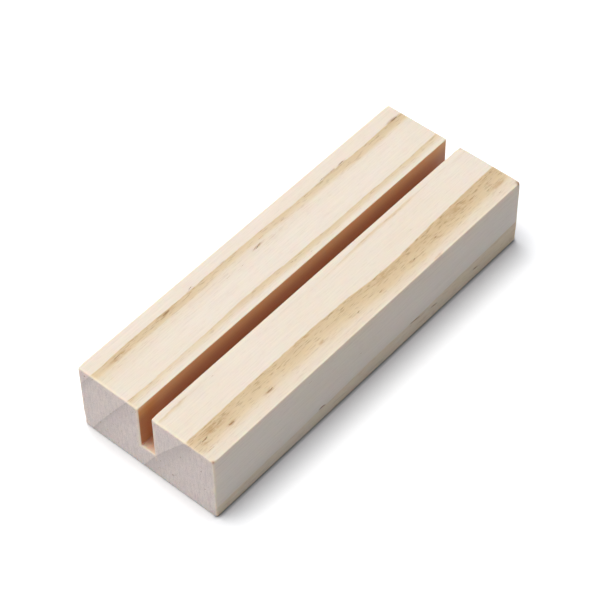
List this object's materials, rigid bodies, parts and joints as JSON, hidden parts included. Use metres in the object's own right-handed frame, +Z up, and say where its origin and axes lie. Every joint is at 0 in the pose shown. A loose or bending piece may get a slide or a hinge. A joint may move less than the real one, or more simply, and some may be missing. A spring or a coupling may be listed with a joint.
{
  "type": "table number holder",
  "caption": "Solid pine block with a straight open-ended slot along its top that holds a table number card upright.",
  "frame": {"origin": "middle of the flat base", "axes": "+X along the slot and the grain, +Z up out of the slot's mouth, -Y the way the card's front faces"},
  "size_m": [0.08, 0.03, 0.015],
  "materials": {
    "bare_pine": "matte"
  },
  "bodies": {
    "root": {"slotted_block": "bare_pine"}
  },
  "joints": []
}
